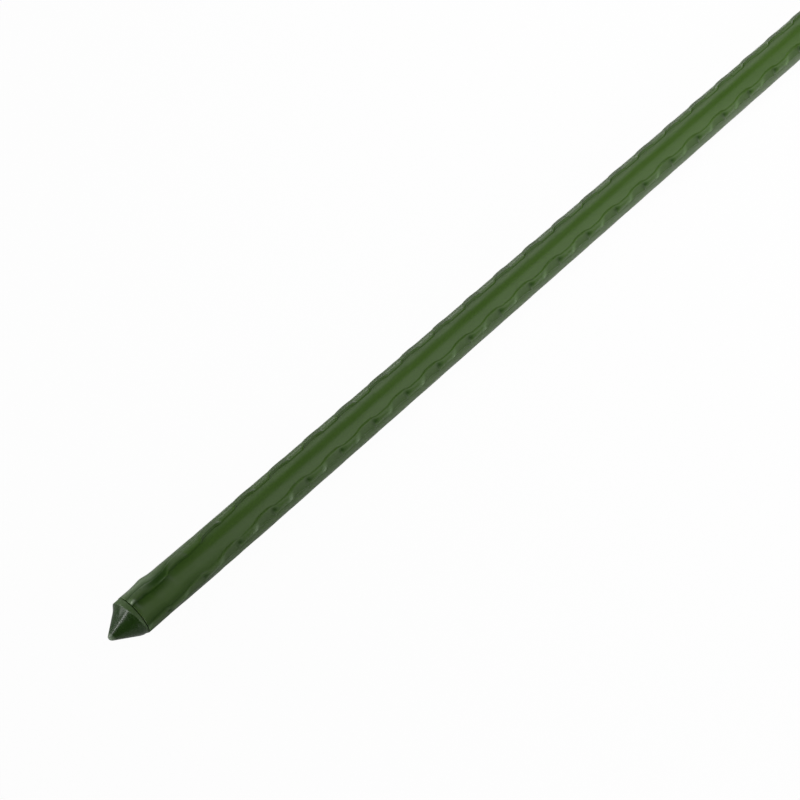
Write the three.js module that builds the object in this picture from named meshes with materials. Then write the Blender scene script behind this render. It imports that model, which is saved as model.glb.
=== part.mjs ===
// Coated garden stake for tying up plants: a thin-wall steel tube inside an extruded plastic sheath.
// Raised ribs run along the sheath in a gentle wave and swell into a lug at every pitch, so that ties
// do not slide. A moulded point is pressed into the lower end and a moulded cap into the upper end.
// Millimetres, +Z up. The stake lies along +X, point at -X, and rests on the plane Z = 0.

import * as THREE from "three";

// Driving sizes of the tube and the sheath
const STAKE_LENGTH = 750; // from the blunt end of the point to the flat top of the cap
const SHEATH_DIAMETER = 11; // smooth outside, between the ribs
const SHEATH_WALL = 0.65;
const SHEATH_CHAMFER = 0.3; // broken edge at both ends of the sheath
const TUBE_WALL = 0.4;

// Driving sizes of the ribs, their widths measured round the sheath
const RIB_ANGLES = [46, 148, 232, 316]; // middle of each rib, in degrees from straight up
const RIB_WIDTH = 2.8; // from foot to foot
const RIB_STEP = 0.26; // width of the steep side
const RIB_CREST = 1.4; // width of the crest between two lugs, the rest is the long slope
const RIB_HEIGHT = 0.35; // between two lugs
const RIB_SWING = 0.31; // sideways travel of the wave to each side
const RIB_TWIST = THREE.MathUtils.degToRad(28); // turn left at the lower end by pressing the point in
const TWIST_LENGTH = 42; // length over which that turn dies out

// Driving sizes of the lugs
const LUG_RISE = 2; // ramp that faces the point
const LUG_CREST = 4.8;
const LUG_FALL = 1.8; // ramp that faces the cap
const LUG_SPACE = 3.4; // plain rib between two lugs
const LUG_HEIGHT = 0.47; // above the smooth sheath
const LUG_WIDTH = 2.1; // width of the crest on a lug
const LUG_OFFSET = 10.6; // from the sheath's lower end to the foot of the first whole lug

// Driving sizes of the point
const POINT_CONE_LENGTH = 5.9;
const POINT_END_RADIUS = 1; // rounding of the blunt end
const POINT_LEDGE = 0.2; // flat step between the cone and the bead
const BEAD_DIAMETER = 10.8;
const BEAD_BAND = 1.3; // straight part between the two rounded edges
const BEAD_ROUNDING = 0.6; // edge towards the cone
const BEAD_SEAM_ROUNDING = 0.4; // edge towards the sheath

// Driving sizes of the cap
const CAP_DIAMETER = 10.8;
const CAP_BAND = 0.8;
const CAP_ROUNDING = 1.8;

// Driving sizes of the shank that holds the point and the cap in the tube
const BARB_COUNT = 3;
const BARB_DEPTH = 0.5;
const BARB_BACK = 0.3; // steep side, towards the head
const BARB_LEAD = 2.9; // gentle side, into the tube
const SHANK_NECK = 0.6; // plain length under the head
const SHANK_TAPER = 1.2; // lead-in at the free end

// Clearances
const FIT_GAP = 0.05; // radial, sheath on tube and barbs in the tube's bore
const SEAT_GAP = 0.2; // axial, between a plug's head and the end of the sheath

// Facets of the round pieces: one flat faces straight down
const AROUND = 24;
const PLAIN_LINES = 3; // lines along the smooth strip between two ribs
const CORNER_STEPS = 4;
const FACET_ANGLE = (2 * Math.PI) / AROUND;

// Sizes that follow from the ones above
const SHEATH_RADIUS = SHEATH_DIAMETER / 2;
const SHEATH_BORE_RADIUS = SHEATH_RADIUS - SHEATH_WALL;
const TUBE_RADIUS = SHEATH_BORE_RADIUS - FIT_GAP;
const TUBE_BORE_RADIUS = TUBE_RADIUS - TUBE_WALL;
const BARB_RADIUS = TUBE_BORE_RADIUS - FIT_GAP;
const SHANK_RADIUS = BARB_RADIUS - BARB_DEPTH;
const POINT_HEAD = POINT_CONE_LENGTH + BEAD_ROUNDING + BEAD_BAND + BEAD_SEAM_ROUNDING;
const CAP_HEAD = BEAD_SEAM_ROUNDING + CAP_BAND + CAP_ROUNDING;
const SHEATH_START = POINT_HEAD + SEAT_GAP;
const SHEATH_LENGTH = STAKE_LENGTH - POINT_HEAD - CAP_HEAD - 2 * SEAT_GAP;
const LUG_PITCH = LUG_RISE + LUG_CREST + LUG_FALL + LUG_SPACE;

function plasticMaterial(color, roughness) {
  return new THREE.MeshStandardMaterial({ color, roughness, metalness: 0 });
}

function steelMaterial() {
  return new THREE.MeshStandardMaterial({ color: 0x9a9c9e, roughness: 0.35, metalness: 1 });
}

// Turns a closed profile of (radius, height) points round the stake's axis.
function turned(profile) {
  return new THREE.LatheGeometry(profile, AROUND, FACET_ANGLE / 2);
}

// Points on an arc in the profile plane, with angles counted from the outward direction.
function arc(centreRadius, centreHeight, radius, from, to) {
  const points = [];
  for (let step = 0; step <= CORNER_STEPS; step += 1) {
    const angle = from + ((to - from) * step) / CORNER_STEPS;
    const x = Math.max(0, centreRadius + radius * Math.cos(angle));
    points.push(new THREE.Vector2(x, centreHeight + radius * Math.sin(angle)));
  }
  return points;
}

// Half profile of the barbed shank, from the underside of the head at height 0 to its free end.
function shankProfile() {
  const points = [new THREE.Vector2(SHANK_RADIUS, 0)];
  let height = SHANK_NECK;
  for (let barb = 0; barb < BARB_COUNT; barb += 1) {
    points.push(new THREE.Vector2(SHANK_RADIUS, height));
    points.push(new THREE.Vector2(BARB_RADIUS, height + BARB_BACK));
    height += BARB_BACK + BARB_LEAD;
  }
  points.push(new THREE.Vector2(SHANK_RADIUS, height));
  points.push(new THREE.Vector2(SHANK_RADIUS * 0.75, height + SHANK_TAPER));
  points.push(new THREE.Vector2(0, height + SHANK_TAPER));
  return points;
}

// The point, blunt end at height 0: rounded end, cone, ledge, bead and shank.
function makePoint() {
  const beadRadius = BEAD_DIAMETER / 2;
  const coneRadius = beadRadius - BEAD_ROUNDING - POINT_LEDGE;
  const coneRise = POINT_CONE_LENGTH - POINT_END_RADIUS;
  const slant = Math.hypot(coneRadius, coneRise);
  const halfAngle = Math.atan2(coneRadius, coneRise) - Math.asin(POINT_END_RADIUS / slant);
  const profile = arc(0, POINT_END_RADIUS, POINT_END_RADIUS, -Math.PI / 2, -halfAngle);
  profile.push(new THREE.Vector2(coneRadius, POINT_CONE_LENGTH));
  const lowerEdge = POINT_CONE_LENGTH + BEAD_ROUNDING;
  profile.push(...arc(beadRadius - BEAD_ROUNDING, lowerEdge, BEAD_ROUNDING, -Math.PI / 2, 0));
  const upperEdge = POINT_HEAD - BEAD_SEAM_ROUNDING;
  profile.push(...arc(beadRadius - BEAD_SEAM_ROUNDING, upperEdge, BEAD_SEAM_ROUNDING, 0, Math.PI / 2));
  for (const point of shankProfile()) {
    profile.push(new THREE.Vector2(point.x, POINT_HEAD + point.y));
  }
  const point = new THREE.Mesh(turned(profile), plasticMaterial(0x2a4418, 0.3));
  point.name = "point";
  return point;
}

// The cap, flat top at the far end of the stake: shank, band and rounded head.
function makeCap() {
  const capRadius = CAP_DIAMETER / 2;
  const seat = STAKE_LENGTH - CAP_HEAD;
  const profile = [];
  for (const point of shankProfile().reverse()) {
    profile.push(new THREE.Vector2(point.x, seat - point.y));
  }
  const lowerEdge = seat + BEAD_SEAM_ROUNDING;
  profile.push(...arc(capRadius - BEAD_SEAM_ROUNDING, lowerEdge, BEAD_SEAM_ROUNDING, -Math.PI / 2, 0));
  const upperEdge = STAKE_LENGTH - CAP_ROUNDING;
  profile.push(...arc(capRadius - CAP_ROUNDING, upperEdge, CAP_ROUNDING, 0, Math.PI / 2));
  profile.push(new THREE.Vector2(0, STAKE_LENGTH));
  const cap = new THREE.Mesh(turned(profile), plasticMaterial(0x2a4418, 0.3));
  cap.name = "cap";
  return cap;
}

// The steel tube: a plain pipe, cut to the length of the sheath.
function makeTube() {
  const end = SHEATH_START + SHEATH_LENGTH;
  const profile = [
    new THREE.Vector2(TUBE_BORE_RADIUS, SHEATH_START),
    new THREE.Vector2(TUBE_RADIUS, SHEATH_START),
    new THREE.Vector2(TUBE_RADIUS, end),
    new THREE.Vector2(TUBE_BORE_RADIUS, end),
    new THREE.Vector2(TUBE_BORE_RADIUS, SHEATH_START),
  ];
  const tube = new THREE.Mesh(turned(profile), steelMaterial());
  tube.name = "tube";
  return tube;
}

// How far a rib has swelled into a lug at a height above the sheath's lower end: 0 to 1.
function lugSwell(height) {
  const place = THREE.MathUtils.euclideanModulo(height - LUG_OFFSET, LUG_PITCH);
  const rising = place / LUG_RISE;
  const falling = (LUG_RISE + LUG_CREST + LUG_FALL - place) / LUG_FALL;
  return THREE.MathUtils.clamp(Math.min(rising, falling), 0, 1);
}

// Turn of the pattern about the stake's axis at a height above the sheath's lower end.
function twistAt(height) {
  return RIB_TWIST * (1 - THREE.MathUtils.smoothstep(height, 0, TWIST_LENGTH));
}

// A point of the sheath, with its angle counted from straight up and its place along a row.
function sheathPoint(radius, angle, height, place) {
  const position = new THREE.Vector3(radius * Math.sin(angle), SHEATH_START + height, radius * Math.cos(angle));
  return { position, place };
}

// Heights at which a line along the sheath bends: given distances into every pitch, and both ends.
function stationHeights(distances) {
  const top = SHEATH_LENGTH - SHEATH_CHAMFER;
  const heights = [SHEATH_CHAMFER];
  const first = -Math.ceil(LUG_OFFSET / LUG_PITCH);
  for (let lug = first; LUG_OFFSET + lug * LUG_PITCH < top; lug += 1) {
    for (const distance of distances) {
      const height = LUG_OFFSET + lug * LUG_PITCH + distance;
      if (height > SHEATH_CHAMFER && height < top) {
        heights.push(height);
      }
    }
  }
  heights.push(top);
  return heights;
}

// One line along the sheath. Its offset round the sheath and its rise go from their first value between
// two lugs to their second value on a lug.
function sheathLine(baseAngle, heights, offsets, rises) {
  const line = [];
  for (const height of heights) {
    const swell = lugSwell(height);
    const offset = THREE.MathUtils.lerp(offsets[0], offsets[1], swell);
    const rise = THREE.MathUtils.lerp(rises[0], rises[1], swell);
    const angle = baseAngle + offset / SHEATH_RADIUS + twistAt(height);
    line.push({ radius: SHEATH_RADIUS + rise, angle, height });
  }
  const first = line[0];
  const last = line[line.length - 1];
  line.unshift({ radius: first.radius - SHEATH_CHAMFER, angle: first.angle, height: 0 });
  line.push({ radius: last.radius - SHEATH_CHAMFER, angle: last.angle, height: SHEATH_LENGTH });
  return line;
}

// The four lines of a rib: its foot on the steep side, both edges of its crest and its other foot.
function ribLines(middle) {
  const heights = stationHeights([0, LUG_RISE, LUG_RISE + LUG_CREST, LUG_RISE + LUG_CREST + LUG_FALL]);
  const foot = RIB_WIDTH / 2;
  const edge = RIB_STEP - foot;
  const level = [0, 0];
  const raised = [RIB_HEIGHT, LUG_HEIGHT];
  return [
    sheathLine(middle, heights, [RIB_SWING - foot, -RIB_SWING - foot], level),
    sheathLine(middle, heights, [RIB_SWING + edge, -RIB_SWING + edge], raised),
    sheathLine(middle, heights, [RIB_SWING + edge + RIB_CREST, -RIB_SWING + edge + LUG_WIDTH], raised),
    sheathLine(middle, heights, [RIB_SWING + foot, -RIB_SWING + foot], level),
  ];
}

// All lines along the outside, in order round the sheath: those of each rib and of the strip after it.
function sheathLines() {
  const plainHeights = stationHeights([0]);
  const ribReach = (RIB_WIDTH / 2 + RIB_SWING) / SHEATH_RADIUS;
  const lines = [];
  for (let rib = 0; rib < RIB_ANGLES.length; rib += 1) {
    const middle = THREE.MathUtils.degToRad(RIB_ANGLES[rib]);
    const nextDegrees = rib + 1 < RIB_ANGLES.length ? RIB_ANGLES[rib + 1] : RIB_ANGLES[0] + 360;
    const next = THREE.MathUtils.degToRad(nextDegrees);
    lines.push(...ribLines(middle));
    for (let plain = 1; plain <= PLAIN_LINES; plain += 1) {
      const share = plain / (PLAIN_LINES + 1);
      const angle = THREE.MathUtils.lerp(middle + ribReach, next - ribReach, share);
      lines.push(sheathLine(angle, plainHeights, [0, 0], [0, 0]));
    }
  }
  return lines;
}

// Fills the strip between two rows of points, always stepping along the row that lags behind.
function zip(corners, rowA, rowB) {
  let a = 0;
  let b = 0;
  while (a < rowA.length - 1 || b < rowB.length - 1) {
    const endA = a === rowA.length - 1;
    const endB = b === rowB.length - 1;
    const stepA = endB || (!endA && rowA[a + 1].place <= rowB[b + 1].place);
    if (stepA) {
      corners.push(rowA[a].position, rowB[b].position, rowA[a + 1].position);
      a += 1;
    } else {
      corners.push(rowA[a].position, rowB[b].position, rowB[b + 1].position);
      b += 1;
    }
  }
}

// One ring of the sheath's bore, started at the facet corner nearest to an angle and closed on itself.
function boreRing(startAngle, height) {
  const first = Math.round(startAngle / FACET_ANGLE - 0.5);
  const ring = [];
  for (let corner = 0; corner <= AROUND; corner += 1) {
    const angle = (first + corner + 0.5) * FACET_ANGLE;
    ring.push(sheathPoint(SHEATH_BORE_RADIUS, angle, height, angle));
  }
  return ring;
}

// One end ring of the outside, closed on itself, with the angle as the place along it.
function endRing(lines, pick) {
  const ring = [];
  for (const line of lines) {
    const end = pick(line);
    ring.push(sheathPoint(end.radius, end.angle, end.height, end.angle));
  }
  const start = pick(lines[0]);
  ring.push(sheathPoint(start.radius, start.angle, start.height, start.angle + 2 * Math.PI));
  return ring;
}

// The sheath: ribbed outside, plain bore and two ring-shaped ends.
function makeSheath() {
  const lines = sheathLines();
  const rows = [];
  for (const line of lines) {
    rows.push(line.map((stop) => sheathPoint(stop.radius, stop.angle, stop.height, stop.height)));
  }
  const corners = [];
  for (let row = 0; row < rows.length; row += 1) {
    zip(corners, rows[row], rows[(row + 1) % rows.length]);
  }
  const lowerRing = endRing(lines, (line) => line[0]);
  const upperRing = endRing(lines, (line) => line[line.length - 1]);
  zip(corners, lowerRing, boreRing(lowerRing[0].place, 0));
  zip(corners, boreRing(upperRing[0].place, SHEATH_LENGTH), upperRing);
  zip(corners, boreRing(0, 0), boreRing(0, SHEATH_LENGTH));
  const geometry = new THREE.BufferGeometry().setFromPoints(corners);
  geometry.computeVertexNormals();
  const sheath = new THREE.Mesh(geometry, plasticMaterial(0x3f5f2a, 0.35));
  sheath.name = "sheath";
  return sheath;
}

// Lays the upright stake along +X, centres it on the origin and sets its lowest line on Z = 0.
function layDown(stake) {
  stake.rotation.z = -Math.PI / 2;
  stake.updateMatrixWorld(true);
  const box = new THREE.Box3().setFromObject(stake, true);
  const middle = box.getCenter(new THREE.Vector3());
  stake.position.set(-middle.x, -middle.y, -box.min.z);
}

const stake = new THREE.Group();
stake.name = "plant_stake";
stake.add(makeTube());
stake.add(makeSheath());
stake.add(makePoint());
stake.add(makeCap());
layDown(stake);

export default stake;
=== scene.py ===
"""Looks of a green coated plant stake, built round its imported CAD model.

The stake lies along +X with its point at -X, in metres, as in the CAD frame. The sheath is rolled from a
flat grid and embossed with four wavy ribs and their lugs; the point and the cap are spun from profiles.
"""

import logging
import math
import random
from dataclasses import dataclass, field
from enum import Enum

import bmesh
import bpy
from mathutils import Matrix, Vector


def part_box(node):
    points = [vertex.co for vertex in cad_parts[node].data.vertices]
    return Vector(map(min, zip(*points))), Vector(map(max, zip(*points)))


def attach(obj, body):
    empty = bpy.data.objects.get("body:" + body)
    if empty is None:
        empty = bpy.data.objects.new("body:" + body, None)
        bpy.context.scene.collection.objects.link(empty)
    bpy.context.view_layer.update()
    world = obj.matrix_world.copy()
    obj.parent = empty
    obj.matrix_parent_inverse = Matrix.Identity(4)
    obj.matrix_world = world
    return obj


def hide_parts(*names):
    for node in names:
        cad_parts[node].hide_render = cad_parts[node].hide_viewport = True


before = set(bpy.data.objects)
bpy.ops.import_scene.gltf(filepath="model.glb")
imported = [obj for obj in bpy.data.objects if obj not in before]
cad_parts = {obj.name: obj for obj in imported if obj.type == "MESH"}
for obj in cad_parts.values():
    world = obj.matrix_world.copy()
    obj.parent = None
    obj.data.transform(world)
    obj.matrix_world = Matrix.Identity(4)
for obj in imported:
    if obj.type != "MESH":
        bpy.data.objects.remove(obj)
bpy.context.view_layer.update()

log = logging.getLogger("plant_stake")

Socket = bpy.types.NodeSocket
Colour = tuple[float, float, float]
Place = tuple[float, float, float]
Profile = list[tuple[float, float]]
Feed = Socket | float | tuple[float, ...]

MM = 0.001
WELD = 1e-7  # vertices closer than this, in metres, are one
TOUCH = 0.01  # places closer than this, in millimetres, are the same
ARC_STEP = 12.0  # degrees that a step of a profile's arc turns, about
ARC_LEAST = 4  # fewest steps of a profile's arc
NOISE_MIDDLE = (0.35, 0.65)  # range that holds most of a noise texture's values
PAD_LAYER = "pad_share"
# share of paler scuffing, partly a painted highlight on the lugs' ramps, the ribs' ends at the rim and the
# point's blunt tip
SCUFF_HIGHLIGHT_LAYER = "scuff_highlight_share"
# share of paler plastic, partly strain whitening and partly a painted highlight on the burr, the fold and a
# band beside the point
PALE_HIGHLIGHT_LAYER = "pale_highlight_share"
# share of painted shade: darker, less glossy colour in the ribs' corners, the lugs' pits and the hollows
# beside the point
SHADE_LAYER = "shade_share"


def smooth_step(value: float) -> float:
    """Return the smooth rise from 0 to 1 while value goes from 0 to 1."""
    held = min(1.0, max(0.0, value))
    return held * held * (3.0 - 2.0 * held)


def even_steps(begin: float, end: float, steps: int) -> list[float]:
    """Return evenly spaced places from begin up to, but without, end."""
    return [begin + (end - begin) * step / steps for step in range(steps)]


def stake_axis() -> Vector:
    """Return where the stake's axis passes the frame's origin: the middle of the CAD tube."""
    low, high = map(Vector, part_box("tube"))
    return Vector((0.0, (low.y + high.y) / 2.0, (low.z + high.z) / 2.0))


def round_stake(angle: float) -> Vector:
    """Return the unit vector out from the axis at an angle, from straight up towards -Y."""
    return Vector((0.0, -math.sin(angle), math.cos(angle)))


class StakeEnd(Enum):
    """The two ends of the stake, as the direction in which each one points along X."""

    POINT = -1
    CAP = 1


class NodeBoard:
    """A small helper that lays nodes on one material's or world's node tree."""

    def __init__(self, owner: bpy.types.ID) -> None:
        """Empty the owner's node tree.

        Args:
            owner: The material, or the world, that gets the nodes.
        """
        owner.use_nodes = True
        self.tree = owner.node_tree
        self.tree.nodes.clear()

    def feed(self, target: Socket, value: Feed) -> None:
        """Link an input to a socket, or set it.

        Args:
            target: The input.
            value: The socket, number, vector or colour that it gets.
        """
        if isinstance(value, Socket):
            self.tree.links.new(value, target)
        else:
            target.default_value = (*value, 1.0) if target.type == "RGBA" else value

    def add(self, kind: str, feeds: dict[str | int, Feed] | None = None, **settings: str) -> bpy.types.Node:
        """Add one node.

        Args:
            kind: Blender's name of the node type.
            feeds: What each named or numbered input gets.
            settings: Properties of the node, such as operation or data_type.

        Returns:
            The new node.
        """
        node = self.tree.nodes.new(kind)
        for name, value in settings.items():
            setattr(node, name, value)
        for name, value in (feeds or {}).items():
            self.feed(node.inputs[name], value)
        return node

    def surface(self, shader: Socket, kind: str = "ShaderNodeOutputMaterial") -> None:
        """Join a shader to a new output node, a material's or another kind."""
        self.add(kind, {"Surface": shader})

    def place(self) -> Socket:
        """Return the socket that gives the place on the piece, in metres."""
        return self.add("ShaderNodeTexCoord").outputs["Object"]

    def layer(self, name: str) -> Socket:
        """Return a socket that reads one of the mesh's own value layers."""
        return self.add("ShaderNodeAttribute", attribute_name=name).outputs["Fac"]

    def drawn(self, place: Socket, draw_out: float) -> Socket:
        """Return the place in a pattern that runs draw_out times as fast along the stake as across it."""
        node = self.add("ShaderNodeMapping", {"Vector": place, "Scale": (draw_out, 1.0, 1.0)})
        return node.outputs["Vector"]

    def noise(self, place: Socket, scale: float, detail: float) -> Socket:
        """Return a noise texture with scale cells in a metre and detail octaves of finer noise."""
        node = self.add("ShaderNodeTexNoise", {"Vector": place, "Scale": scale, "Detail": detail})
        return node.outputs["Fac"]

    def spread(self, noise: Socket, low: float, high: float) -> Socket:
        """Map the middle of a noise to a range.

        Args:
            noise: The noise socket.
            low: Result at the lower end of the noise's middle.
            high: Result at its upper end.

        Returns:
            The socket with the mapped value.
        """
        begin, end = NOISE_MIDDLE
        feeds = {"Value": noise, "From Min": begin, "From Max": end, "To Min": low, "To Max": high}
        return self.add("ShaderNodeMapRange", feeds).outputs["Result"]

    def scaled(self, value: Socket, factor: float, base: Socket | float) -> Socket:
        """Return the sum of a base and a value times a factor."""
        node = self.add("ShaderNodeMath", {0: value, 1: factor, 2: base}, operation="MULTIPLY_ADD")
        return node.outputs["Value"]

    def stain(self, colour: Socket | Colour, share: Socket, mark: Colour) -> Socket:
        """Return a colour with a share of a mark's colour mixed over it."""
        node = self.add("ShaderNodeMix", {"Factor": share, "A": colour, "B": mark}, data_type="RGBA")
        return node.outputs["Result"]

    def mixed(self, share: Socket, first: Socket, second: Socket) -> Socket:
        """Return a shader that goes from the first to the second as the share goes from 0 to 1."""
        return self.add("ShaderNodeMixShader", {0: share, 1: first, 2: second}).outputs["Shader"]

    def bump(self, height: Socket, depth: float, below: Socket | None = None) -> Socket:
        """Add fine relief.

        Args:
            height: The socket with the relief, 0 to 1.
            depth: Metres that it stands out.
            below: The socket with the normal of another relief that it lies on.

        Returns:
            The socket with the normal.
        """
        feeds = {"Height": height, "Strength": 1.0, "Distance": depth}
        if below is not None:
            feeds["Normal"] = below
        return self.add("ShaderNodeBump", feeds).outputs["Normal"]


@dataclass(frozen=True)
class Wear:
    """How use shows on plastic: dull pads and lips, and scuffed ends, the scuffing partly a painted
    highlight.
    """

    dull_colour: Colour
    dull_roughness: float
    # colour of the scuffing, partly a painted highlight
    scuff_highlight_colour: Colour
    scuff_roughness: float = 0.25

    def dress(self, board: NodeBoard, colour: Socket, rough: Socket) -> tuple[Socket, Socket]:
        """Lay the wear over a finish.

        Args:
            board: The finish's nodes.
            colour: The socket with the clean colour.
            rough: The socket with the clean roughness.

        Returns:
            The sockets with the colour and the roughness after the wear.
        """
        dull = board.layer(PAD_LAYER)
        # the scuffing is partly a painted highlight
        scuff_highlight = board.layer(SCUFF_HIGHLIGHT_LAYER)
        colour = board.stain(board.stain(colour, dull, self.dull_colour), scuff_highlight, self.scuff_highlight_colour)
        rough = board.scaled(dull, self.dull_roughness, rough)
        return colour, board.scaled(scuff_highlight, self.scuff_roughness, rough)


@dataclass(frozen=True)
class StrainAndPaintedLight:
    """Paler plastic on the sheath, partly whitened by strain and partly a painted highlight, and painted
    shade, darker and less glossy, in its hollows and corners.
    """

    # paler colour, partly strain whitening and partly a painted highlight
    pale_highlight_colour: Colour
    # painted shade: a darker colour and a lower specular level
    shade_colour: Colour
    shade_gloss: float

    def dress(self, board: NodeBoard, colour: Socket, gloss: float) -> tuple[Socket, Socket]:
        """Lay the paler plastic and the painted shade over a finish.

        Args:
            board: The finish's nodes.
            colour: The socket with the colour underneath.
            gloss: Specular level of the clean plastic.

        Returns:
            The sockets with the marked colour and the specular level.
        """
        shade = board.layer(SHADE_LAYER)
        colour = board.stain(colour, board.layer(PALE_HIGHLIGHT_LAYER), self.pale_highlight_colour)
        return board.stain(colour, shade, self.shade_colour), board.scaled(shade, self.shade_gloss, gloss)


@dataclass(frozen=True)
class PlasticFinish:
    """Coloured plastic with a faint grain, drawn out along the stake where it was extruded."""

    name: str
    colour: Colour
    faded: Colour
    roughness: tuple[float, float]
    wear: Wear
    draw_out: float
    cloud_scale: float
    grain_depth: float
    ripple_scale: float
    ripple_depth: float
    grain_scale: float = 2600.0
    sheen_ratio: float = 2.7
    cloud_detail: float = 3.0
    fine_detail: float = 2.0
    ripple_detail: float = 1.0
    refraction: float = 1.5
    gloss: float = 0.5
    strain_and_painted_light: StrainAndPaintedLight | None = None

    def material(self) -> bpy.types.Material:
        """Lay the finish's nodes.

        Returns:
            The node material.
        """
        material = bpy.data.materials.new(self.name)
        board = NodeBoard(material)
        place = board.place()
        drawn = board.drawn(place, self.draw_out)
        clouds = board.spread(board.noise(drawn, self.cloud_scale, self.cloud_detail), 0.0, 1.0)
        sheen = board.noise(drawn, self.cloud_scale * self.sheen_ratio, self.fine_detail)
        colour = board.stain(self.colour, clouds, self.faded)
        colour, rough = self.wear.dress(board, colour, board.spread(sheen, *self.roughness))
        gloss = self.gloss
        # paler plastic, partly a painted highlight, and painted shade
        if self.strain_and_painted_light is not None:
            colour, gloss = self.strain_and_painted_light.dress(board, colour, self.gloss)
        grain = board.bump(board.noise(place, self.grain_scale, self.fine_detail), self.grain_depth)
        ripple = board.noise(drawn, self.ripple_scale, self.ripple_detail)
        feeds = {
            "Base Color": colour,
            "Roughness": rough,
            "IOR": self.refraction,
            "Specular IOR Level": gloss,
            "Normal": board.bump(ripple, self.ripple_depth, grain),
        }
        board.surface(board.add("ShaderNodeBsdfPrincipled", feeds).outputs["BSDF"])
        return material


@dataclass(frozen=True)
class SteelFinish:
    """Bare drawn steel with fine lines along the tube."""

    name: str = "drawn_steel"
    colour: Colour = (0.5, 0.5, 0.51)
    roughness: tuple[float, float] = (0.28, 0.42)
    draw_out: float = 0.02
    line_scale: float = 2600.0
    line_detail: float = 2.0

    def material(self) -> bpy.types.Material:
        """Lay the finish's nodes.

        Returns:
            The node material.
        """
        material = bpy.data.materials.new(self.name)
        board = NodeBoard(material)
        drawn = board.drawn(board.place(), self.draw_out)
        rough = board.spread(board.noise(drawn, self.line_scale, self.line_detail), *self.roughness)
        feeds = {"Base Color": self.colour, "Metallic": 1.0, "Roughness": rough}
        board.surface(board.add("ShaderNodeBsdfPrincipled", feeds).outputs["BSDF"])
        return material


SHEATH_PLASTIC = PlasticFinish(
    name="extruded_green_plastic",
    colour=(0.0265, 0.061, 0.0055),
    faded=(0.0305, 0.0665, 0.0075),
    roughness=(0.28, 0.34),
    wear=Wear(
        dull_colour=(0.0215, 0.05, 0.004),
        dull_roughness=0.12,
        # colour of the scuffing, partly a painted highlight
        scuff_highlight_colour=(0.055, 0.099, 0.033),
    ),
    # paler plastic, partly a painted highlight, and darker, less glossy painted shade
    strain_and_painted_light=StrainAndPaintedLight(
        pale_highlight_colour=(0.18, 0.235, 0.155),
        shade_colour=(0.011, 0.031, 0.003),
        shade_gloss=-0.4,
    ),
    draw_out=0.12,
    cloud_scale=260.0,
    grain_depth=0.004 * MM,
    ripple_scale=700.0,
    ripple_depth=0.01 * MM,
)
SHADED_MOULDED_PLASTIC = PlasticFinish(
    name="shaded_moulded_green_plastic",
    # the point's plastic is the sheath's green; this much darker colour is painted shade on the point's
    # cone, and the cap shares it
    colour=(0.0062, 0.0225, 0.0006),
    faded=(0.0085, 0.0265, 0.0014),
    roughness=(0.21, 0.29),
    wear=Wear(
        dull_colour=(0.032, 0.065, 0.015),
        dull_roughness=0.25,
        # paler scuffing on the blunt tip, partly a painted highlight
        scuff_highlight_colour=(0.14, 0.18, 0.12),
    ),
    draw_out=1.0,
    cloud_scale=300.0,
    grain_depth=0.006 * MM,
    ripple_scale=420.0,
    ripple_depth=0.02 * MM,
    gloss=0.38,
)
TUBE_STEEL = SteelFinish()


class Piece:
    """What every new piece shares: its mesh, its finish and its place on the CAD frame."""

    def __init__(self, name: str) -> None:
        """Start an empty bmesh.

        Args:
            name: Name of the finished object.
        """
        self.name = name
        self.mesh = bmesh.new()

    def finish(self, material: bpy.types.Material, node: str, sharp: float) -> bpy.types.Object:
        """Turn the bmesh into an object that stands for a CAD node.

        Args:
            material: The piece's material.
            node: The CAD node that it replaces.
            sharp: Angle in degrees past which an edge is shaded as sharp.

        Returns:
            The finished object.
        """
        bmesh.ops.remove_doubles(self.mesh, verts=self.mesh.verts, dist=WELD)
        bmesh.ops.recalc_face_normals(self.mesh, faces=self.mesh.faces)
        for face in self.mesh.faces:
            face.smooth = True
        data = bpy.data.meshes.new(self.name)
        self.mesh.to_mesh(data)
        self.mesh.free()
        data.set_sharp_from_angle(angle=math.radians(sharp))
        data.materials.append(material)
        piece = bpy.data.objects.new(self.name, data)
        bpy.context.collection.objects.link(piece)
        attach(piece, "root")
        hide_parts(node)
        log.info("%s: %d faces", self.name, len(data.polygons))
        return piece


@dataclass(frozen=True)
class WaveForm:
    """How one edge of a rib swings to the lug's side and back, in millimetres along a pitch."""

    start: float
    rise: float
    crest: float
    fall: float

    def swell(self, place: float) -> float:
        """Find how far the edge has swung.

        Args:
            place: Place along the pitch.

        Returns:
            The share of the way to the lug's side, 0 to 1.
        """
        end = self.start + self.rise + self.crest + self.fall
        rising = smooth_step((place - self.start) / self.rise)
        return rising * smooth_step((end - place) / self.fall)


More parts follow.
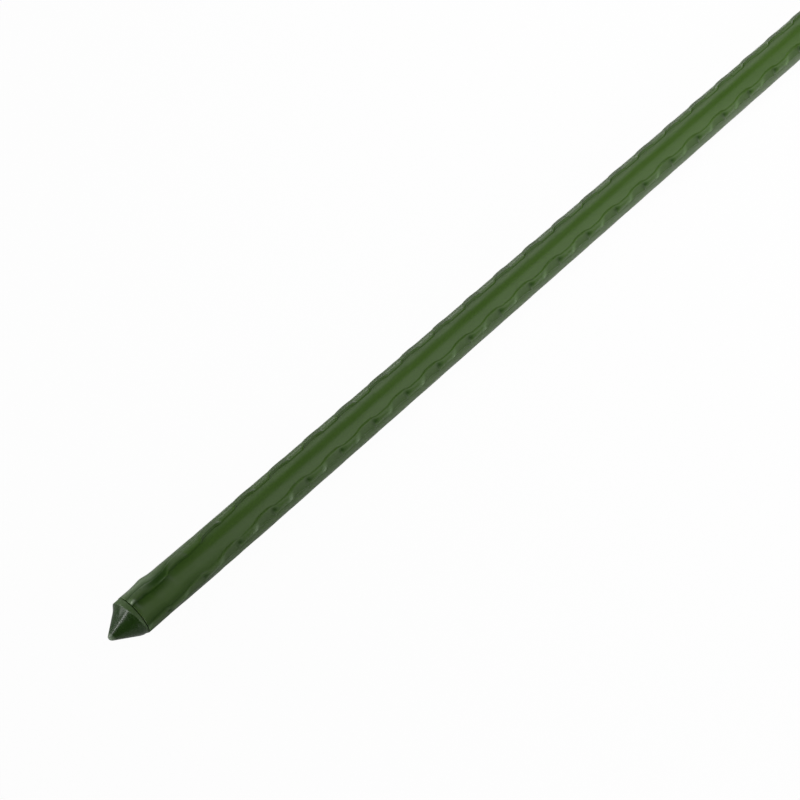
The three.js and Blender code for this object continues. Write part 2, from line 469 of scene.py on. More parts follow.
@dataclass(frozen=True)
class RibForm:
    """The ribs' places round the sheath and their cross section, in millimetres across each one."""

    angles: tuple[float, ...] = (46.5, 148.5, 232.5, 316.5)
    low_foot: float = -1.52
    low_edge: float = -0.97
    crest_end: float = -0.2
    gap_edge: float = 0.1  # added to low_edge between two lugs
    wall_start: float = 0.85
    lug_end: float = 0.98
    high_foot: float = 1.33
    height: float = 0.35
    swing: float = 0.31
    low_wave: WaveForm = WaveForm(start=0.6, rise=3.5, crest=2.9, fall=2.3)
    high_wave: WaveForm = WaveForm(start=0.3, rise=1.5, crest=2.5, fall=4.0)
    edge_lines: int = 4
    crest_lines: int = 2
    flank_lines: int = 3
    wall_lines: int = 5
    strip_lines: int = 2
    guard: float = 0.16

    def offsets(self) -> list[float]:
        """Find the places of the grid lines across the rib.

        Returns:
            The places, with a guard line outside each foot.
        """
        return [
            self.low_foot - self.guard,
            *even_steps(self.low_foot, self.low_edge, self.edge_lines),
            *even_steps(self.low_edge, self.crest_end, self.crest_lines),
            *even_steps(self.crest_end, self.wall_start, self.flank_lines),
            *even_steps(self.wall_start, self.high_foot, self.wall_lines),
            self.high_foot,
            self.high_foot + self.guard,
        ]

    def plain(self, offset: float, soft: bool) -> float:
        """Return the share of the rib's height between two lugs.

        Args:
            offset: Place across the rib.
            soft: Whether the rib runs out softly at its high foot, or ends there in a corner.

        Returns:
            The share, 0 to 1.
        """
        climb = smooth_step((offset - self.low_foot) / (self.low_edge + self.gap_edge - self.low_foot))
        slope = min(1.0, max(0.0, (self.high_foot - offset) / (self.high_foot - self.crest_end)))
        return climb * (smooth_step(slope) if soft else slope * (2.0 - slope))

    def raised(self, offset: float) -> float:
        """Return the share of the lug's height at an offset."""
        climb = smooth_step((offset - self.low_foot) / (self.low_edge - self.low_foot))
        return climb * smooth_step((self.high_foot - offset) / (self.high_foot - self.lug_end))

    def swing_at(self, place: float, share: float) -> float:
        """Return how far a line is swung.

        Args:
            place: Place along the pitch.
            share: 0 on the low edge and 1 on the high edge.

        Returns:
            Millimetres round the sheath.
        """
        swell = self.low_wave.swell(place) * (1.0 - share) + self.high_wave.swell(place) * share
        return self.swing * (1.0 - 2.0 * swell)


@dataclass(frozen=True)
class LugForm:
    """The lugs along a rib, in millimetres along each pitch."""

    pitch: float = 12.0
    offset: float = 10.6
    height: float = 0.47
    tilt: float = 0.07
    near_start: float = 1.0
    near_length: float = 1.5
    near_slant: float = 0.8
    near_spread: float = 0.35
    far_start: float = 6.2
    far_length: float = 1.3
    far_slant: float = 1.0
    far_spread: float = 0.9
    least_ramp: float = 0.5
    near_zone: float = 3.2
    near_rings: int = 7
    far_zone: tuple[float, float] = (5.6, 9.6)
    far_rings: int = 9
    plain_rings: int = 2
    # scuffing on the ramp towards the point, partly a painted highlight
    scuff_highlight_place: float = 0.2
    scuff_highlight_length: float = 0.85
    scuff_highlight_edges: tuple[float, float] = (-1.2, 1.4)
    scuff_highlight_soft: tuple[float, float] = (1.6, 0.7)
    pad_edges: tuple[float, float] = (-0.95, 1.2)
    pad_soft: float = 0.4
    pad_start: float = 0.75
    pad_ramp: float = 0.7
    pad_end: float = 7.2
    marked: tuple[int, ...] = (0, 2)  # ribs whose lugs have scuffs, partly a painted highlight, and pits with painted shade
    dent_place: float = 7.9
    dent_offset: float = -0.2
    dent_depth: float = 0.28
    dent_length: float = 0.75
    dent_width: float = 0.6
    dent_trail: float = 0.65
    place_scatter: float = 0.1
    height_scatter: float = 0.06

    def stations(self) -> list[float]:
        """Find the places of the grid rings in one pitch.

        Returns:
            The places, close together on the ramps.
        """
        far_begin, far_end = self.far_zone
        return [
            *even_steps(0.0, self.near_zone, self.near_rings),
            *even_steps(self.near_zone, far_begin, self.plain_rings),
            *even_steps(far_begin, far_end, self.far_rings),
            *even_steps(far_end, self.pitch, self.plain_rings),
        ]

    def near(self, place: float, offset: float) -> float:
        """Find how far the ramp towards the point has risen; it is steepest on the high side.

        Args:
            place: Place along the pitch.
            offset: Place across the rib.

        Returns:
            The share, 0 to 1.
        """
        begin = self.near_start - self.near_slant * offset
        length = max(self.least_ramp, self.near_length - self.near_spread * offset)
        return smooth_step((place - begin) / length)

    def lift(self, place: float, offset: float) -> float:
        """Find how far the lug stands up between its two ramps.

        Args:
            place: Place along the pitch.
            offset: Place across the rib.

        Returns:
            The share of its height, 0 to 1.
        """
        begin = self.far_start + self.far_slant * offset
        length = max(self.least_ramp, self.far_length - self.far_spread * offset)
        return self.near(place, offset) * (1.0 - smooth_step((place - begin) / length))

    def scuff_highlight(self, place: float, offset: float) -> float:
        """Find how much the ramp towards the point is scuffed, partly as a painted highlight, most on its
        high side.

        Args:
            place: Place along the pitch.
            offset: Place across the rib.

        Returns:
            The share, 0 to 1.
        """
        along = (place - self.near_start + self.near_slant * offset - self.scuff_highlight_place) / self.scuff_highlight_length
        low, high = self.scuff_highlight_edges
        rise, fall = self.scuff_highlight_soft
        across = smooth_step((offset - low) / rise) * smooth_step((high - offset) / fall)
        return math.exp(-along * along) * across

    def pad(self, place: float, offset: float) -> float:
        """Find how much of the dull pad lies there, inside the clean rim of the lug's top.

        Args:
            place: Place along the pitch.
            offset: Place across the rib.

        Returns:
            The share, 0 to 1.
        """
        low, high = self.pad_edges
        across = smooth_step((offset - low) / self.pad_soft) * smooth_step((high - offset) / self.pad_soft)
        begin = self.near_start - self.near_slant * offset + self.pad_start
        along = smooth_step((place - begin) / self.pad_ramp)
        return across * along * (1.0 - smooth_step((place - self.pad_end) / self.pad_ramp))

    def dent(self, place: float, offset: float) -> float:
        """Find how deep the pit behind the lug is; it trails off away from the point.

        Args:
            place: Place along the pitch.
            offset: Place across the rib.

        Returns:
            The share of its depth, 0 to 1.
        """
        along = (place - self.dent_place) / self.dent_length
        if along > 0.0:
            along *= self.dent_trail
        across = (offset - self.dent_offset) / self.dent_width
        return math.exp(-along * along - across * across)


@dataclass(frozen=True)
class EndMark:
    """A mark that was left beside the point when the stake was cut and closed, in millimetres; some carry
    painted shade, and some a paler colour that is partly a painted highlight.
    """

    place: float
    offset: float
    length: float
    width: float
    height: float = 0.0
    slant: float = 0.0
    # share of painted shade
    shade: float = 0.0
    # share of paler colour, partly strain whitening and partly a painted highlight
    pale_highlight: float = 0.0
    crisp: float = 1.0

    def share(self, offset: float, ring: float) -> float:
        """Return how much of the mark is at a point.

        Args:
            offset: Place across, from the middle of the marked rib.
            ring: Place along the sheath.

        Returns:
            The share, 0 to 1.
        """
        along = (ring - self.place) / self.length
        across = (offset - self.offset - self.slant * (ring - self.place)) / self.width
        return math.exp(-((along * along + across * across) ** self.crisp))


# the burr's paler colour is a painted highlight at the rim
BURR = EndMark(place=0.75, offset=0.8, length=0.6, width=0.6, height=0.45, pale_highlight=1.0)
# the two hollows carry painted shade
HOLLOW = EndMark(
    place=9.4, offset=-0.4, length=4.3, width=1.4, height=-0.3, slant=-0.06, shade=1.0, crisp=2.0
)
SMALL_HOLLOW = EndMark(
    place=3.9, offset=1.2, length=1.9, width=0.45, height=-0.2, slant=-0.05, shade=1.0, crisp=1.5
)
# the fold is a little paler, partly a painted highlight
FOLD = EndMark(place=9.8, offset=1.05, length=2.6, width=0.25, height=0.18, slant=0.15, pale_highlight=0.2)
BULGE = EndMark(place=6.4, offset=-5.16, length=2.0, width=1.5, height=0.4)
# a paler band on the upper side beside the point: painted highlight
PALE_HIGHLIGHT_BAND = EndMark(place=5.5, offset=-2.9, length=5.0, width=1.6, pale_highlight=0.4)


@dataclass
class Sheath:
    """The extruded sheath: a rolled grid, embossed with the ribs and lugs, in millimetres."""

    low: Vector
    high: Vector
    radius: float = 5.5
    bore: float = 4.85
    edge_round: float = 0.1
    edge_rings: int = 5
    edge_clear: float = 1.2  # in edge rounds, free of the lugs' rings
    # length of the paler, scuffed rim at either end, partly a painted highlight
    scuff_highlight_edge: float = 1.4
    end_length: float = 15.0
    end_step: float = 0.3
    marked_rib: int = 3
    marks: tuple[EndMark, ...] = (BURR, HOLLOW, SMALL_HOLLOW, FOLD, BULGE, PALE_HIGHLIGHT_BAND)
    bend_angle: float = math.radians(-75.0)
    bend_shift: float = 0.27
    bend_length: float = 34.0
    twist: float = math.radians(28.0)
    twist_length: float = 42.0
    pressed: tuple[float, ...] = (0.4, 0.3, 0.3, 1.0)  # share pressed flat at the point, rib by rib
    pressed_length: float = 38.0
    pressed_drop: float = 0.5
    # painted shade in the corners at the ribs' feet
    corner_shade: float = 0.34
    corner_inset: float = 0.08
    corner_width: float = 0.22
    end_shade: float = 2.0  # in the corners' painted shade, added towards the point
    low_shade: float = 2.5  # in the corners' painted shade, at the low foot towards the point
    sharp_angle: float = 60.0
    first_lug: int = 2  # number of the lug at the lugs' offset
    seed: int = 7
    rib: RibForm = field(default_factory=RibForm)
    lug: LugForm = field(default_factory=LugForm)
    axis: Vector = field(init=False)
    length: float = field(init=False)
    shift: list[list[float]] = field(init=False)
    strength: list[list[float]] = field(init=False)

    def __post_init__(self) -> None:
        """Work out the sheath's length, its axis and each lug's own small differences."""
        self.axis = stake_axis()
        self.length = (self.high.x - self.low.x) / MM
        chance = random.Random(self.seed)
        count = math.ceil(self.length / self.lug.pitch) + self.first_lug + 1
        self.shift = []
        self.strength = []
        for _ in self.rib.angles:
            self.shift.append([chance.gauss(0.0, self.lug.place_scatter) for _ in range(count)])
            self.strength.append([1.0 + chance.gauss(0.0, self.lug.height_scatter) for _ in range(count)])

    def rings(self) -> list[float]:
        """Find the places of the grid's rings along the sheath.

        Returns:
            The places, close together on both rounded edges and beside the point.
        """
        turns = [math.radians(turn) for turn in even_steps(0.0, 90.0, self.edge_rings)]
        edge = [self.edge_round * (1.0 - math.cos(turn)) for turn in turns]
        edge.append(self.edge_round)
        places = list(edge)
        clear = self.edge_clear * self.edge_round
        first = -math.ceil(self.lug.offset / self.lug.pitch)
        for lug in range(first, math.ceil(self.length / self.lug.pitch)):
            for station in self.lug.stations():
                place = self.lug.offset + lug * self.lug.pitch + station
                if clear < place < self.length - clear:
                    places.append(place)
        places += [self.length - place for place in reversed(edge)]
        close = []
        for begin, end in zip(places, places[1:]):
            steps = math.ceil((end - begin) / self.end_step) if begin < self.end_length else 1
            close += even_steps(begin, end, steps)
        return close + places[-1:]

    def lines(self) -> list[tuple[int, float, float]]:
        """Find the grid's lines round the sheath.

        Returns:
            Each line's rib, its offset from the rib's middle, and how far it goes with the wave of the
            rib's high edge: all the way on that edge, and not at all on the low edge of either rib.
        """
        found = []
        count = len(self.rib.angles)
        offsets = self.rib.offsets()
        for rib, angle in enumerate(self.rib.angles):
            for offset in offsets:
                share = (offset - self.rib.low_foot) / (self.rib.high_foot - self.rib.low_foot)
                found.append((rib, offset, min(1.0, max(0.0, share))))
            sector = math.radians((self.rib.angles[(rib + 1) % count] - angle) % 360.0) * self.radius
            strip = sector - offsets[-1] + offsets[0]
            for share in even_steps(0.0, 1.0, self.rib.strip_lines + 1)[1:]:
                found.append((rib, offsets[-1] + strip * share, 1.0 - share))
        found.append((count, offsets[0], 0.0))
        return found

    def lug_place(self, rib: int, ring: float) -> tuple[int, int, float]:
        """Find the lug that a ring crosses.

        Args:
            rib: Number of the rib.
            ring: Place along the sheath.

        Returns:
            The rib's row, the lug's number in it and the place along that lug.
        """
        turn, place = divmod(ring - self.lug.offset, self.lug.pitch)
        row = rib % len(self.rib.angles)
        number = int(turn) + self.first_lug
        return row, number, place + self.shift[row][number]

    def from_marked(self, rib: int, offset: float) -> float:
        """Return an offset from one rib's middle as the offset from the marked rib's middle."""
        row = rib % len(self.rib.angles)
        return offset + math.radians(self.rib.angles[row] - self.rib.angles[self.marked_rib]) * self.radius

    def pad_share(self, rib: int, offset: float, ring: float) -> float:
        """Return how much of a point lies on a lug's dull pad, 0 to 1."""
        return self.lug.pad(self.lug_place(rib, ring)[2], offset)

    def pit_share(self, rib: int, offset: float, ring: float) -> float:
        """Find how deep in a pit a point lies.

        Args:
            rib: Number of the rib.
            offset: Place across the rib.
            ring: Place along the sheath.

        Returns:
            The share of the pit's depth, 0 to 1.
        """
        row, _, place = self.lug_place(rib, ring)
        if row not in self.lug.marked or not self.rib.low_foot < offset < self.rib.high_foot:
            return 0.0
        return self.lug.dent(place, offset)

    def pale_highlight_share(self, rib: int, offset: float, ring: float) -> float:
        """Return how much paler a point is, partly whitened by strain and partly a painted highlight, 0 to
        1.
        """
        across = self.from_marked(rib, offset)
        return max(mark.pale_highlight * mark.share(across, ring) for mark in self.marks)

    def shade_share(self, rib: int, offset: float, ring: float) -> float:
        """Find how much painted shade lies at a point, in a pit, a hollow or the corner at a rib's foot.

        Args:
            rib: Number of the rib.
            offset: Place across the rib.
            ring: Place along the sheath.

        Returns:
            The share, 0 to 1.
        """
        # the painted shade grows stronger and wider towards the point
        wear_and_light = 1.0 - smooth_step(ring / self.pressed_length)
        width = self.corner_width * (1.0 + wear_and_light)
        high = (offset - self.rib.high_foot + self.corner_inset) / width
        low = (offset - self.rib.low_foot - self.corner_inset) / width
        corner = (1.0 + self.end_shade * wear_and_light) * math.exp(-high * high)
        corner += self.low_shade * wear_and_light * math.exp(-low * low)
        across = self.from_marked(rib, offset)
        marked = max(mark.shade * mark.share(across, ring) for mark in self.marks)
        return min(1.0, max(self.pit_share(rib, offset, ring), self.corner_shade * corner, marked))

    def scuff_highlight_share(self, rib: int, offset: float, ring: float) -> float:
        """Find how scuffed a point is, on a lug's ramp or at a rubbed end; the scuffing is partly a painted
        highlight.

        Args:
            rib: Number of the rib.
            offset: Place across the rib.
            ring: Place along the sheath.

        Returns:
            The share, 0 to 1.
        """
        row, _, place = self.lug_place(rib, ring)
        wear_and_light = 1.0 - smooth_step(min(ring, self.length - ring) / self.scuff_highlight_edge)
        if row in self.lug.marked:
            wear_and_light = max(wear_and_light, self.lug.scuff_highlight(place, offset))
        return self.rib.raised(offset) * wear_and_light

    def relief(self, rib: int, offset: float, ring: float) -> float:
        """Find the height above the plain sheath.

        Args:
            rib: Number of the rib.
            offset: Place across the rib.
            ring: Place along the sheath.

        Returns:
            Height of the rib, with its lug, pit and marks, in millimetres.
        """
        row, number, place = self.lug_place(rib, ring)
        plain = self.rib.height * self.rib.plain(offset, row in self.lug.marked)
        pad = (self.lug.height + self.lug.tilt * offset) * self.strength[row][number]
        raised = pad * self.rib.raised(offset)
        pressed = self.pressed[row] * (1.0 - smooth_step(ring / self.pressed_length))
        height = plain + (raised - plain) * self.lug.lift(place, offset) * (1.0 - pressed)
        height *= 1.0 - self.pressed_drop * pressed
        across = self.from_marked(rib, offset)
        height += sum(mark.height * mark.share(across, ring) for mark in self.marks)
        return height - self.lug.dent_depth * self.pit_share(rib, offset, ring)

    def edge_drop(self, ring: float) -> float:
        """Find how far the rounded edge falls in near either end.

        Args:
            ring: Place along the sheath.

        Returns:
            The drop, in millimetres.
        """
        inside = self.edge_round - min(ring, self.length - ring)
        if inside <= 0.0:
            return 0.0
        return self.edge_round - math.sqrt(max(0.0, self.edge_round**2 - inside**2))

    def place(self, rib: int, offset: float, share: float, ring: float) -> Vector:
        """Find a point of the sheath.

        Args:
            rib: Number of the rib.
            offset: Place across the rib, or on the plain strip past it.
            share: How far the line goes with the high edge's wave.
            ring: Place along the sheath.

        Returns:
            The point, in metres in the CAD frame.
        """
        along = (ring - self.lug.offset) % self.lug.pitch
        fade = 1.0 - smooth_step(ring / self.twist_length)
        turns, row = divmod(rib, len(self.rib.angles))
        middle = math.radians(self.rib.angles[row] + 360.0 * turns) + self.twist * fade
        angle = middle + (offset + self.rib.swing_at(along, share)) / self.radius
        radius = self.radius + self.relief(rib, offset, ring) - self.edge_drop(ring)
        bend = self.bend_shift * (1.0 - smooth_step(ring / self.bend_length))
        across = radius * round_stake(angle) + bend * round_stake(self.bend_angle)
        return self.axis + Vector((self.low.x + ring * MM, 0.0, 0.0)) + across * MM

    def build(self) -> bpy.types.Object:
        """Roll and emboss the grid, close its ends and give it its finish.

        Returns:
            The sheath.
        """
        piece = Piece("stake_sheath")
        rings = self.rings()
        lines = self.lines()
        layers = piece.mesh.verts.layers.float
        shares = {
            PAD_LAYER: self.pad_share,
            SHADE_LAYER: self.shade_share,
            SCUFF_HIGHLIGHT_LAYER: self.scuff_highlight_share,
            PALE_HIGHLIGHT_LAYER: self.pale_highlight_share,
        }
        for name in shares:
            layers.new(name)
        marks = {layers[name]: share for name, share in shares.items()}
        bmesh.ops.create_grid(piece.mesh, x_segments=len(rings) - 1, y_segments=len(lines) - 1, size=1.0)
        for vert in piece.mesh.verts:
            ring = rings[round((vert.co.x + 1.0) / 2.0 * (len(rings) - 1))]
            rib, offset, share = lines[round((vert.co.y + 1.0) / 2.0 * (len(lines) - 1))]
            for layer, share_at in marks.items():
                vert[layer] = share_at(rib, offset, ring)
            vert.co = self.place(rib, offset, share, ring)
        bmesh.ops.remove_doubles(piece.mesh, verts=piece.mesh.verts, dist=WELD)
        self.close_ends(piece.mesh)
        return piece.finish(SHEATH_PLASTIC.material(), "sheath", self.sharp_angle)

    def close_ends(self, mesh: bmesh.types.BMesh) -> None:
        """Draw both open edges in to the bore and join them along it.

        Args:
            mesh: The rolled grid.
        """
        rim = [edge for edge in mesh.edges if edge.is_boundary]
        drawn = bmesh.ops.extrude_edge_only(mesh, edges=rim)
        loop = [item for item in drawn["geom"] if isinstance(item, bmesh.types.BMEdge)]
        for item in drawn["geom"]:
            if isinstance(item, bmesh.types.BMVert):
                across = item.co - self.axis
                across.x = 0.0
                item.co += across * (self.bore * MM / across.length - 1.0)
        inner = [edge for edge in loop if edge.is_boundary]
        bmesh.ops.bridge_loops(mesh, edges=inner)


@dataclass
class Plug:
    """A moulded plug spun round the stake's axis: the point or the cap, in millimetres."""

    name: str
    node: str
    low: Vector
    high: Vector
    outward: StakeEnd
    shank_radius: float = 3.85
    tip_share: float = 0.75  # of the shank's radius
    barb_radius: float = 4.35
    barb_count: int = 3
    barb_back: float = 0.3
    barb_lead: float = 2.9
    neck: float = 0.6
    taper: float = 1.2
    steps: int = 96
    sharp_angle: float = 35.0

    def head(self) -> Profile:
        """Return the head's profile as (place, radius) from its outer end to its seat."""
        raise NotImplementedError

    def shank(self, seat: float) -> Profile:
        """Draw the barbed shank behind the head.

        Args:
            seat: Place of the head's underside.

        Returns:
            Points as (place, radius), ending on the axis.
        """
        place = seat + self.neck
        profile = [(seat, self.shank_radius)]
        for _ in range(self.barb_count):
            profile += [(place, self.shank_radius), (place + self.barb_back, self.barb_radius)]
            place += self.barb_back + self.barb_lead
        profile += [(place, self.shank_radius), (place + self.taper, self.tip_share * self.shank_radius)]
        profile.append((place + self.taper, 0.0))
        return profile

    @staticmethod
    def arc(centre: tuple[float, float], radius: float, begin: float, end: float) -> Profile:
        """Draw an arc of the profile.

        Args:
            centre: Place and radius of the arc's centre.
            radius: Radius of the arc.
            begin: First angle in degrees, with 0 straight out from the axis and 90 towards the seat.
            end: Last angle in degrees.

        Returns:
            Points as (place, radius).
        """
        steps = max(ARC_LEAST, round(abs(end - begin) / ARC_STEP))
        angles = [math.radians(angle) for angle in (*even_steps(begin, end, steps), end)]
        return [
            (centre[0] + radius * math.sin(angle), max(0.0, centre[1] + radius * math.cos(angle)))
            for angle in angles
        ]

    def settle(self, mesh: bmesh.types.BMesh, outer: float, seat: float) -> None:
        """Leave a plug's head as it was spun."""

    def build(self) -> bpy.types.Object:
        """Spin the profile into a closed solid and give it its finish.

        Returns:
            The plug.
        """
        piece = Piece(self.name)
        head = self.head()
        seat = head[-1][0]
        axis = stake_axis()
        outer = self.low.x if self.outward is StakeEnd.POINT else self.high.x
        verts = []
        for place, radius in head + self.shank(seat):
            x = outer - self.outward.value * place * MM
            verts.append(piece.mesh.verts.new(axis + Vector((x, 0.0, radius * MM))))
        for first, second in zip(verts, verts[1:]):
            piece.mesh.edges.new((first, second))
        bmesh.ops.spin(
            piece.mesh,
            geom=piece.mesh.verts[:] + piece.mesh.edges[:],
            cent=axis,
            axis=(1.0, 0.0, 0.0),
            angle=2.0 * math.pi,
            steps=self.steps,
            use_merge=True,
        )
        self.settle(piece.mesh, outer, seat)
        return piece.finish(SHADED_MOULDED_PLASTIC.material(), self.node, self.sharp_angle)


@dataclass
class Point(Plug):
    """The point: blunt end, scuffed paler as a partly painted highlight, cone and the lip that meets the
    sheath.
    """

    end_radius: float = 1.0
    cone_length: float = 6.95
    cone_rings: int = 9
    lip_radius: float = 5.4
    lip_band: float = 0.8
    lip_round: float = 0.4
    lip_start: float = -50.0
    seam_round: float = 0.05
    # length of the paler blunt end, partly a painted highlight
    tip_scuff_highlight_length: float = 1.3
    settle_angle: float = math.radians(-75.0)
    settle_tilt: float = math.radians(9.0)
    tilt_ramp: float = 1.0
    cone_shift: float = -0.1
    lip_shift: float = 0.36
    lip_ramp: float = 1.0

    def settle(self, mesh: bmesh.types.BMesh, outer: float, seat: float) -> None:
        """Set the head askew and its lip off centre, as it was pressed in, and make its blunt end paler,
        scuffed and partly a painted highlight.

        Args:
            mesh: The spun plug.
            outer: Where the blunt end lies along the stake, in metres.
            seat: Place of the head's underside.
        """
        aside = round_stake(self.settle_angle)
        axis = stake_axis()
        dull = mesh.verts.layers.float.new(PAD_LAYER)
        # paler scuffing on the blunt end, partly a painted highlight
        wear_and_light = mesh.verts.layers.float.new(SCUFF_HIGHLIGHT_LAYER)
        for vert in mesh.verts:
            place = (vert.co.x - outer) / MM
            across = vert.co - axis
            wide = across.yz.length > (self.shank_radius + TOUCH) * MM
            if place > seat + TOUCH or (place > seat - TOUCH and not wide):
                continue
            vert[wear_and_light] = smooth_step((self.tip_scuff_highlight_length - place) / self.tip_scuff_highlight_length)
            vert[dull] = smooth_step((place - self.cone_length) / self.lip_round)
            seated = smooth_step(1.0 + (place - self.cone_length) / self.lip_ramp)
            tilt = math.tan(self.settle_tilt) * smooth_step((seat - place) / self.tilt_ramp)
            vert.co += aside * (self.cone_shift + (self.lip_shift - self.cone_shift) * seated) * MM
            vert.co.x -= across.dot(aside) * tilt

    def head(self) -> Profile:
        """Draw the head.

        Returns:
            Its profile from the blunt end to the seat.
        """
        edge = self.cone_length + self.lip_round
        lip = self.arc((edge, self.lip_radius - self.lip_round), self.lip_round, self.lip_start, 0.0)
        rise = lip[0][0] - self.end_radius
        slant = math.hypot(lip[0][1], rise)
        half_angle = math.degrees(math.atan2(lip[0][1], rise) - math.asin(self.end_radius / slant))
        profile = self.arc((self.end_radius, 0.0), self.end_radius, -90.0, -half_angle)
        begin, end = Vector(profile[-1]), Vector(lip[0])
        profile += [tuple(begin.lerp(end, ring / self.cone_rings)) for ring in range(1, self.cone_rings)]
        profile += lip
        edge += self.lip_band
        profile += self.arc((edge, self.lip_radius - self.seam_round), self.seam_round, 0.0, 90.0)
        return profile


@dataclass
class Cap(Plug):
    """The cap: flat top, rounded edge and band."""

    cap_radius: float = 5.4
    band: float = 0.8
    top_round: float = 1.8
    seam_round: float = 0.4

    def head(self) -> Profile:
        """Draw the head.

        Returns:
            Its profile from the flat top to the seat.
        """
        profile = [(0.0, 0.0)]
        edge = self.top_round
        profile += self.arc((edge, self.cap_radius - self.top_round), self.top_round, -90.0, 0.0)
        edge += self.band
        profile += self.arc((edge, self.cap_radius - self.seam_round), self.seam_round, 0.0, 90.0)
        return profile


@dataclass(frozen=True)
class SoftBox:
    """One rectangular studio light that faces a place on the stake, in metres and degrees."""

    name: str
    target: Place
    lean: float
    turn: float
    distance: float
    size: tuple[float, float]
    radiance: float
    spread: float = 180.0

    def build(self) -> None:
        """Hang the light: leaned from upright towards +X and turned towards -Y, its long side along X."""
        lean = math.radians(self.lean)
        turn = math.radians(self.turn)
        back = Vector((math.sin(lean), -math.sin(turn) * math.cos(lean), math.cos(turn) * math.cos(lean)))
        data = bpy.data.lights.new(self.name, "AREA")
        data.shape = "RECTANGLE"
        data.size, data.size_y = self.size
        data.energy = self.radiance * math.pi * self.size[0] * self.size[1]
        data.spread = math.radians(self.spread)
        lamp = bpy.data.objects.new(self.name, data)
        bpy.context.collection.objects.link(lamp)
        along = (Vector((1.0, 0.0, 0.0)) - back * back.x).normalized()
        facing = Matrix((along, back.cross(along), back)).transposed()
        spot = Vector(self.target) + back * self.distance
        lamp.matrix_world = Matrix.Translation(spot) @ facing.to_4x4()


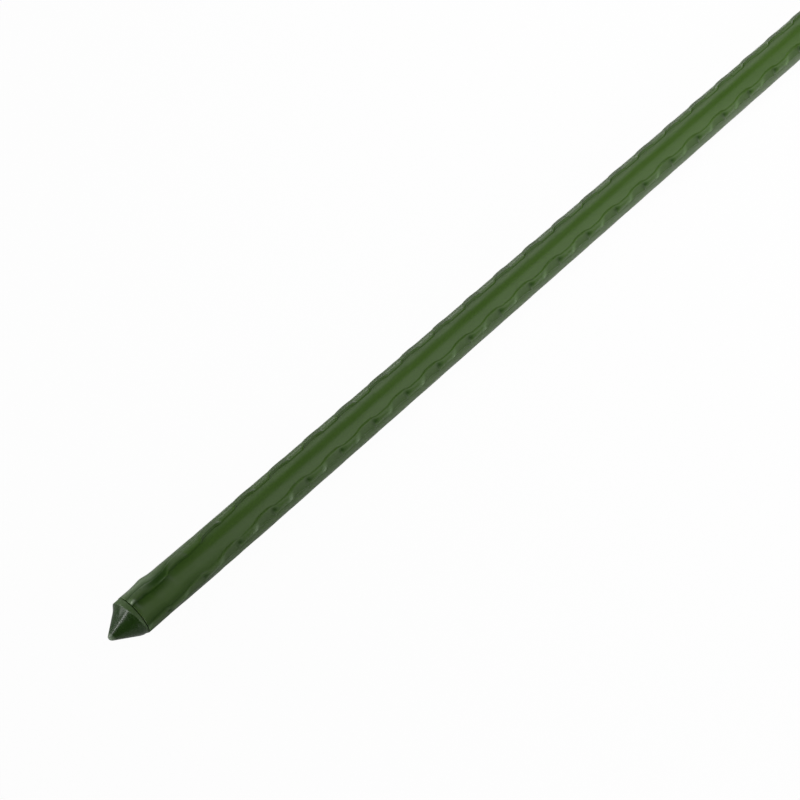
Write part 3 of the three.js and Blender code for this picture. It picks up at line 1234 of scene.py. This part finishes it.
@dataclass(frozen=True)
class Studio:
    """White table, dim surroundings and soft boxes round the stake."""

    table_size: float = 40.0
    table_colour: Colour = (0.54, 0.54, 0.54)
    table_glow: float = 0.97
    surround: float = 0.105
    boxes: tuple[SoftBox, ...] = (
        SoftBox(
            "key_box", target=(0.15, 0.0, 0.0), lean=-50.0, turn=-6.0,
            distance=0.938, size=(0.36, 0.3), radiance=3.2, spread=56.0,
        ),
        SoftBox(
            "near_box", target=(-0.15, 0.0, 0.0), lean=18.0, turn=24.5,
            distance=0.44, size=(0.46, 0.36), radiance=1.0,
        ),
        SoftBox(
            "near_wall", target=(-0.09, 0.0, 0.0), lean=18.0, turn=62.0,
            distance=0.44, size=(0.46, 0.24), radiance=1.0,
        ),
        SoftBox(
            "far_box", target=(-0.105, 0.0, 0.0), lean=18.0, turn=-51.0,
            distance=0.44, size=(0.46, 0.16), radiance=1.4,
        ),
        SoftBox(
            "far_wall", target=(-0.2, 0.0, 0.0), lean=20.0, turn=-81.0,
            distance=0.6, size=(0.36, 0.14), radiance=3.4,
        ),
        SoftBox(
            "front_box", target=(0.0, 0.0, 0.0), lean=-34.0, turn=70.0,
            distance=0.8, size=(0.35, 0.5), radiance=1.7, spread=76.0,
        ),
        SoftBox(
            "left_box", target=(-0.37, 0.0, 0.0), lean=-56.0, turn=-34.0,
            distance=0.7, size=(0.34, 0.06), radiance=16.5,
        ),
        SoftBox(
            "left_wall", target=(-0.37, 0.0, 0.0), lean=-60.0, turn=-80.0,
            distance=0.7, size=(0.4, 0.26), radiance=3.7,
        ),
        SoftBox(
            "point_box", target=(-0.385, 0.015, 0.0), lean=-22.0, turn=-77.0,
            distance=0.6, size=(0.1, 0.1), radiance=1.6, spread=24.0,
        ),
    )

    def seen_share(self, board: NodeBoard) -> Socket:
        """Find how much of its glow the table shows.

        Args:
            board: The table's nodes.

        Returns:
            The socket with the glow's share for the rays that show the background, and 0 for others.
        """
        rays = board.add("ShaderNodeLightPath").outputs
        feeds = {0: rays["Is Camera Ray"], 1: rays["Is Transmission Ray"]}
        seen = board.add("ShaderNodeMath", feeds, operation="MAXIMUM")
        return board.scaled(seen.outputs["Value"], self.table_glow, 0.0)

    def table_material(self) -> bpy.types.Material:
        """Make matt white that is lifted to a white background and still takes the shadow.

        Returns:
            The table's material.
        """
        material = bpy.data.materials.new("white_table")
        board = NodeBoard(material)
        matt = board.add("ShaderNodeBsdfDiffuse", {"Color": self.table_colour})
        glow = board.add("ShaderNodeEmission", {"Strength": 1.0})
        share = self.seen_share(board)
        board.surface(board.mixed(share, matt.outputs["BSDF"], glow.outputs["Emission"]))
        return material

    def lay_table(self) -> None:
        """Lay the table under the stake."""
        mesh = bmesh.new()
        bmesh.ops.create_grid(mesh, x_segments=1, y_segments=1, size=self.table_size / 2.0)
        data = bpy.data.meshes.new("table")
        mesh.to_mesh(data)
        mesh.free()
        data.materials.append(self.table_material())
        table = bpy.data.objects.new("table", data)
        bpy.context.collection.objects.link(table)

    def set_surroundings(self) -> None:
        """Make the world white to the camera and dim to the stake."""
        world = bpy.data.worlds.new("studio")
        bpy.context.scene.world = world
        board = NodeBoard(world)
        dim = board.add("ShaderNodeBackground", {"Strength": self.surround})
        white = board.add("ShaderNodeBackground", {"Color": (1.0, 1.0, 1.0)})
        seen = board.add("ShaderNodeLightPath").outputs["Is Camera Ray"]
        shown = board.mixed(seen, dim.outputs["Background"], white.outputs["Background"])
        board.surface(shown, "ShaderNodeOutputWorld")

    def build(self) -> None:
        """Lay the table, set the surroundings and hang the lights."""
        self.lay_table()
        self.set_surroundings()
        for box in self.boxes:
            box.build()
        log.info("studio: table and %d soft boxes", len(self.boxes))


@dataclass(frozen=True)
class PhotoCamera:
    """The camera at the photograph's angle, in metres and degrees, with lens and sensor in millimetres."""

    aim: Place = (-0.277346, -0.003089, 0.0)
    distance: float = 0.468204
    azimuth: float = -58.872
    elevation: float = 62.601
    roll: float = 14.470
    lens: float = 81.0
    sensor: float = 36.0
    near_clip: float = 0.01

    def build(self) -> bpy.types.Object:
        """Place the camera and make it the scene's own.

        Returns:
            The camera.
        """
        turn = math.radians(self.azimuth)
        rise = math.radians(self.elevation)
        level = math.cos(rise)
        back = Vector((math.sin(turn) * level, -math.cos(turn) * level, math.sin(rise)))
        data = bpy.data.cameras.new("photo_camera")
        data.sensor_width = self.sensor
        data.lens = self.lens
        data.clip_start = self.near_clip
        camera = bpy.data.objects.new("photo_camera", data)
        bpy.context.collection.objects.link(camera)
        facing = back.to_track_quat("Z", "Y").to_matrix().to_4x4()
        tilt = Matrix.Rotation(math.radians(self.roll), 4, "Z")
        spot = stake_axis() + Vector(self.aim) + back * self.distance
        camera.matrix_world = Matrix.Translation(spot) @ facing @ tilt
        bpy.context.scene.camera = camera
        return camera


def dress_tube() -> None:
    """Give the CAD tube, which stays as it is inside the sheath, its steel."""
    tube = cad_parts["tube"]
    tube.data.materials.clear()
    tube.data.materials.append(TUBE_STEEL.material())
    log.info("tube: %s", TUBE_STEEL.name)


def main() -> None:
    """Build the stake, the studio and the camera."""
    logging.basicConfig(level=logging.INFO, format="%(message)s")
    bpy.context.scene.view_settings.view_transform = "Standard"
    PhotoCamera().build()
    Studio().build()
    Sheath(*map(Vector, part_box("sheath"))).build()
    Point("stake_point", "point", *map(Vector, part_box("point")), StakeEnd.POINT).build()
    Cap("stake_cap", "cap", *map(Vector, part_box("cap")), StakeEnd.CAP).build()
    dress_tube()


if __name__ == "__main__":
    main()
